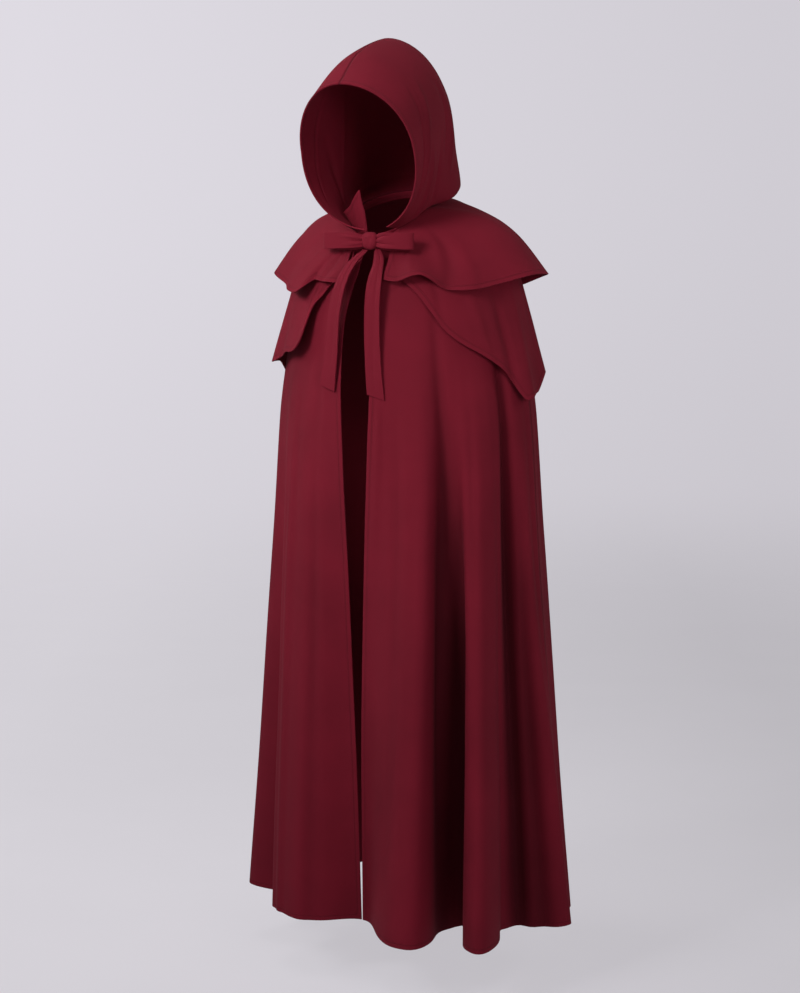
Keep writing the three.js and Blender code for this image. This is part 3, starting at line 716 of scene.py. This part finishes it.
def capePiece(name, cape, creases, rows, seed):
    stops = [capes["edge"], *[a for a in cape["edge"]["at"] if capes["edge"] < a < 180]]
    stops += [a + 360 for a in cape["edge"]["at"] if 180 <= a + 360 < 360 - capes["edge"]]
    stops.append(360 - capes["edge"])
    acrosses = [a for k in range(len(stops) - 1)
                for a in np.linspace(stops[k], stops[k + 1], capes["columnsPerFold"], endpoint=False)]
    downs = gathered(0, 1, rows, 1, 3)
    long = float(np.mean(cape["edge"]["long"]))

    def surface(share, at):
        down = share * readTable(cape["edge"], "at", "long", wrap(at))
        wanted = edgeAngle(np.where(wrap(at) > 0, cape["left"], cape["right"]), down)
        return capePoint(cape, nearEdge(at, capes["edge"], wanted, capes["reach"]), share)

    def relief(share, at):
        place = wrap(at)
        across = place * capes["perDegree"]
        wander = unevenness(seed, capes["wanderSize"], across, share * long) * capes["wander"]
        pressed = creased(creases, (capes["perDegree"], long), place, share)
        return pressed + wander * smooth(0.2, 0.7, share)

    hems = ["foot", "first", "last"]
    piece = clothPiece(name + "Cloth", downs, [*acrosses, stops[-1]], surface, relief, None, hems)
    finishPiece(piece, name, woolCloth)


capePiece("under_cape", underCape, underCreases, 56, 2)
capePiece("shoulder_cape", shoulderCape, shoulderCreases, 44, 3)
print("capes laid")

# The hood's two halves, joined along the middle
hood = {"rows": 90, "columns": 90, "wide": 330, "long": 420, "wander": 1.2, "wanderSize": 150}
hoodCreases = table(
    "at down toAt toDown wide deep bow",
    (0.34, 0.18, 0.8, 0.19, 5, 3.4, 3),
    (0.34, 0.25, 0.8, 0.27, 8, -4.5, 3),
    (0.36, 0.38, 0.66, 0.6, 6, 3.6, -3),
    (0.42, 0.48, 0.66, 0.74, 10, -4.5, -3),
    (0.62, 0.3, 0.98, 0.62, 11, -5, 4),
    (0.6, 0.44, 0.95, 0.8, 9, 3.6, 4),
    (-0.36, 0.24, -0.78, 0.22, 6, -2.4, 3),
    (-0.4, 0.4, -0.7, 0.6, 5, 2.2, 3),
    (-0.6, 0.36, -0.96, 0.66, 10, -2.8, 4),
)


def hoodHalf(name, side):
    def surface(share, across):
        point = hoodPoint(share, across)
        point[..., 0] += side * body["seamAir"] / 2
        return point

    def relief(share, across):
        wander = unevenness(4 + side, hood["wanderSize"], across * hood["wide"], share * hood["long"])
        pressed = creased(hoodCreases, (hood["wide"], hood["long"]), across, share)
        return pressed + wander * hood["wander"] * smooth(0, 0.2, share) * (1 - smooth(0.8, 1, share))

    acrosses = gathered(0, 1, hood["columns"], 2, 1)
    if side < 0:
        acrosses = -acrosses[::-1]
    seams = ["foot", "first" if side > 0 else "last"]
    downs = gathered(0, 1, hood["rows"], 3, 2)
    piece = clothPiece(name + "Cloth", downs, acrosses, surface, relief, None, ["top"], seams)
    finishPiece(piece, name, woolCloth)


hoodHalf("hood_left", 1)
hoodHalf("hood_right", -1)
print("hood up")

# The facing inside the neck
facingPlaces = gathered(facing["ends"] - 360, -facing["ends"], facing["columns"], 1, 2)
facingPiece = clothPiece(
    "neck_facingCloth", evenly(0, 1, facing["rows"]), facingPlaces, facingPoint, hems=["top", "foot"],
)
finishPiece(facingPiece, "neck_facing", woolCloth)

# The tie: loops, tails and knot
knot = {
    "x": 12, "y": -110, "z": -32, "wide": 26, "deep": 18, "high": 32, "flatness": 0.7, "fuller": 1.2,
    "folds": table("at slant wide deep", (0.2, 0.4, 0.14, 0.16), (-0.5, 0, 0.12, 0.14)),
}
tie = {
    "thick": 2.6, "longer": {1: 1, -1: 1.18}, "slant": {1: 7, -1: 3}, "columns": 20, "loopRows": 90,
    "tailRows": 120, "roll": -2.4,
}
loopPath = table(
    "at out y z high",
    (0, 13.1, -2, 0, 21), (0.2, 34, -8, 1, 28), (0.44, 81, -1, 0, 30), (0.5, 86, 4, 0, 30),
    (0.56, 81, 9, -1, 30), (0.8, 34, 4, -3, 28), (1, 13.1, 3, -2, 21),
)
tailPaths = {
    1: table(
        "at x down off turn wide",
        (0, 22, 31.1, 15, 0, 11), (0.12, 32, 62, 21, 4, 20), (0.3, 31, 104, 19, 8, 30),
        (0.5, 33, 168, 11, 8, 32), (0.75, 37, 240, 5.5, 4, 32), (1, 44, 314, 3.4, 0, 34),
    ),
    -1: table(
        "at x down off turn wide",
        (0, 0, 31, 16, 10, 12), (0.12, -19, 60, 21, 12, 22), (0.26, -28, 98, 26.4, 12, 28),
        (0.45, -38, 150, 20, 12, 32), (0.75, -47, 226, 9, 6, 32), (1, -57, 302, 4.6, -4, 34),
    ),
}
loopCreases = table(  # at the knot, on each ply
    "at down toAt toDown wide deep bow",
    (0.3, -0.06, 0.5, 0.3, 2, -1.5, 0),
    (-0.35, -0.06, -0.6, 0.26, 2, -1.4, 0),
    (0, -0.06, -0.1, 0.22, 2.2, 1.2, 0),
    (0.1, 0.8, 0, 1.06, 2.4, -1.2, 0),
)
tailCreases = table(  # lengthwise, from the knot down
    "at down toAt toDown wide deep bow",
    (0.25, -0.1, 0.35, 0.5, 2.6, -1.6, 0),
    (-0.3, -0.1, -0.5, 0.36, 2.4, 1.4, 0),
    (0.1, 0.3, -0.1, 0.95, 5, -0.9, 1),
)


def tieLoop(name, side):
    def surface(share, across):
        value = {c: readTable(loopPath, "at", c, share) for c in loopPath}
        longer = tie["longer"][side]
        x = knot["x"] + side * (knot["wide"] / 2 + (value["out"] - knot["wide"] / 2) * longer)
        y = knot["y"] + value["y"]
        z = knot["z"] + value["z"] - side * across * value["high"] / 2
        return np.stack([x, y, z], axis=-1)

    def relief(share, across):
        pressed = creased(loopCreases, (15, 150), across, share)
        return pressed * (1 if side < 0 else -1)

    downs, acrosses = evenly(0, 1, tie["loopRows"]), evenly(-1, 1, tie["columns"])
    piece = clothPiece(name + "Cloth", downs, acrosses, surface, relief, tie["thick"])
    finishPiece(piece, name, tieCloth)


def tieTail(name, side):
    path = tailPaths[side]

    def surface(share, across):
        value = {c: readTable(path, "at", c, share) for c in path}
        down = value["down"] + tie["slant"][side] * share * across
        at = np.degrees(np.arcsin(value["x"] / readTable(rings, "down", "side", down)))
        along, outward = ovalFrame(at, down)
        turn = np.radians(value["turn"])
        reach = across * value["wide"] / 2
        rise = value["off"] + reach * np.sin(turn)
        return cloakPoint(at, down) + outward * rise[..., None] + along * (reach * np.cos(turn))[..., None]

    def relief(share, across):
        rolled = (1 - smooth(0.05, 0.5, share)) * tie["roll"] * across**2
        return creased(tailCreases, (16, 290), across, share) + rolled

    downs, acrosses = evenly(0, 1, tie["tailRows"]), evenly(-1, 1, tie["columns"])
    piece = clothPiece(name + "Cloth", downs, acrosses, surface, relief, tie["thick"])
    finishPiece(piece, name, tieCloth)


tieLoop("tie_loop_left", 1)
tieLoop("tie_loop_right", -1)
tieTail("tie_tail_left", 1)
tieTail("tie_tail_right", -1)


def tieKnot():
    bm = bmesh.new()
    bmesh.ops.create_uvsphere(bm, u_segments=48, v_segments=32, radius=1, calc_uvs=False)
    for vertex in bm.verts:
        x, y, z = [math.copysign(abs(v) ** knot["flatness"], v) for v in vertex.co]
        fold = 1
        for at, slant, wide, deep in zip(*knot["folds"].values()):
            fold -= deep * math.exp(-((x - slant * z - at) / wide) ** 2)
        narrow = knot["fuller"] * (1 - 0.1 * z * z + 0.08 * z)
        vertex.co = Vector((
            knot["x"] + x * knot["wide"] / 2 * narrow,
            knot["y"] + y * knot["deep"] / 2 * fold,
            knot["z"] + z * knot["high"] / 2,
        )) * mm
    mesh = bpy.data.meshes.new("tie_knotCloth")
    uv = bm.loops.layers.uv.new("cut")
    for face in bm.faces:
        face.smooth = True
        for loop in face.loops:
            loop[uv].uv = (loop.vert.co.x, loop.vert.co.z)
    bm.to_mesh(mesh)
    bm.free()
    none = np.zeros(len(mesh.vertices))
    far = none + 1000  # the knot shows no hem or seam
    layEdges(mesh, none, far, none, far, none)
    piece = bpy.data.objects.new("tie_knotCloth", mesh)
    bpy.context.scene.collection.objects.link(piece)
    piece.data.materials.append(tieCloth)
    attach(piece, "root")
    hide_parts("tie_knot")


tieKnot()
print("tie tied")

# The studio: pale floor and surroundings, soft lights from both sides and a little from above.
# glow is light painted into the floor, which glows though it is no lamp: glow as the camera sees it, and
# thrown as it falls on the cloak. Pairs run from left to right, near to far or low to high.
studio = {
    "floor": -1.40, "floorColour": (0.60, 0.58, 0.62), "glow": 1.5, "thrown": 0.6, "own": 0.6,
    "high": (0.715, 0.688, 0.745), "low": (0.655, 0.63, 0.68), "air": 0.165,
    "size": 9, "fade": (1.4, 8.5), "floorReach": 1.1, "floorSides": (1.12, 0.8),
    "wallReach": 0.16, "wallSides": (1.03, 0.88), "wallRise": (-0.22, 0.03), "lampSize": 1,
}


# Used to paint a light falloff across the floor and the backdrop.
def sideways(g, place, reach, sides):  # a value that runs from the studio's left to its right
    turn = math.radians(view["azimuth"])
    right = (math.cos(turn), math.sin(turn), 0)
    aside = g.add("VectorMath", {0: place, 1: right}, operation="DOT_PRODUCT").outputs["Value"]
    return g.add("MapRange", {0: aside, 1: -reach, 2: reach, 3: sides[0], 4: sides[1]}).outputs[0]


def layFloor():
    bm = bmesh.new()
    bmesh.ops.create_circle(bm, cap_ends=True, segments=96, radius=studio["size"])
    mesh = bpy.data.meshes.new("floor")
    for vertex in bm.verts:
        vertex.co.z = studio["floor"]
    bm.to_mesh(mesh)
    bm.free()
    floor = bpy.data.objects.new("floor", mesh)
    bpy.context.scene.collection.objects.link(floor)
    material = bpy.data.materials.new("floor")
    g = emptyGraph(material)
    place = g.add("TexCoord").outputs["Object"]
    distance = g.add("VectorMath", {0: place}, operation="LENGTH").outputs["Value"]
    near, far = studio["fade"]
    fade = g.add("MapRange", {0: distance, 1: near, 2: far}, interpolation_type="SMOOTHERSTEP").outputs[0]
    grain = g.add("TexNoise", {"Vector": place, "Scale": 3.0, "Detail": 3.0}).outputs["Fac"]
    tone = g.add("HueSaturation", {"Value": g.math("MULTIPLY_ADD", grain, 0.03, 0.985),
                                   "Color": (*studio["floorColour"], 1)}).outputs[0]
    paper = g.add("BsdfDiffuse", {"Color": tone}).outputs[0]
    # The floor glows as painted light, painted lighter on the left and darker on the right as painted light
    # falloff.
    spread = sideways(g, place, studio["floorReach"], studio["floorSides"])
    seen = g.add("LightPath").outputs["Is Camera Ray"]
    strength = g.math("MULTIPLY_ADD", seen, studio["glow"] - studio["thrown"], studio["thrown"])
    glow = g.add("Emission", {"Color": tone, "Strength": g.math("MULTIPLY", spread, strength)}).outputs[0]
    mixed = g.add("MixShader", {0: studio["own"], 1: paper, 2: glow}).outputs[0]
    clear = g.add("BsdfTransparent").outputs[0]
    both = g.add("MixShader", {0: fade, 1: mixed, 2: clear}).outputs[0]
    out = g.add("OutputMaterial")
    g.tree.links.new(both, out.inputs["Surface"])
    mesh.materials.append(material)


def addLamp(name, kind, power, place):
    lamp = bpy.data.objects.new(name, bpy.data.lights.new(name, kind))
    lamp.data.energy = float(power)
    lamp.location = place
    bpy.context.scene.collection.objects.link(lamp)
    return lamp


def lightStudio():
    world = bpy.data.worlds.new("studio")
    bpy.context.scene.world = world
    g = emptyGraph(world)
    seen = g.add("LightPath").outputs["Is Camera Ray"]
    way = g.add("TexCoord").outputs["Generated"]
    height = g.add("SeparateXYZ", {0: way}).outputs[2]
    foot, head = studio["wallRise"]
    rise = g.add("MapRange", {0: height, 1: foot, 2: head}, interpolation_type="SMOOTHSTEP").outputs[0]
    # The backdrop is darker low down, and painted lighter on the left and darker on the right as painted light
    # falloff.
    shade = sideways(g, way, studio["wallReach"], studio["wallSides"])
    low, high = (*studio["low"], 1), (*studio["high"], 1)
    backdrop = g.add("Mix", {0: rise, 6: low, 7: high}, data_type="RGBA").outputs[2]
    wall = g.add("Background", {"Color": backdrop, "Strength": shade}).outputs[0]
    air = g.add("Background", {"Color": (1, 1, 1, 1), "Strength": studio["air"]}).outputs[0]
    both = g.add("MixShader", {0: seen, 1: air, 2: wall}).outputs[0]
    out = g.add("OutputWorld")
    g.tree.links.new(both, out.inputs["Surface"])
    lamps = table(
        "azimuth elevation away spread power",
        (-18, 30, 2.8, 54, 4.7),
        (-45, 75, 2.6, 120, 5),
        (-75, 30, 3.0, 58, 2.6),
        (56, 5, 3.2, 70, 3.4),
        (120, 30, 3.0, 120, 4.5),
    )
    aim = Vector((0, 0, -0.28))
    for k, azimuth in enumerate(lamps["azimuth"]):
        turn, tilt = math.radians(azimuth), math.radians(lamps["elevation"][k])
        toLamp = Vector((math.sin(turn) * math.cos(tilt), -math.cos(turn) * math.cos(tilt), math.sin(tilt)))
        place = aim + toLamp * float(lamps["away"][k])
        lamp = addLamp(f"softbox{k + 1}", "AREA", lamps["power"][k], place)
        lamp.data.shape = "SQUARE"
        lamp.data.size = studio["lampSize"]
        lamp.data.spread = math.radians(lamps["spread"][k])
        lamp.rotation_euler = toLamp.to_track_quat("Z", "Y").to_euler()
    glows = table("x y z size power", (0, 20, -520, 120, 0.24), (5, -140, 45, 40, 0.034))  # faint fill inside
    for k, power in enumerate(glows["power"]):
        place = [float(glows[c][k]) * mm for c in "xyz"]
        lamp = addLamp(f"glow{k + 1}", "POINT", power, place)
        lamp.data.shadow_soft_size = float(glows["size"][k]) * mm


layFloor()
lightStudio()
bpy.context.scene.view_settings.view_transform = "Standard"
print("studio lit")
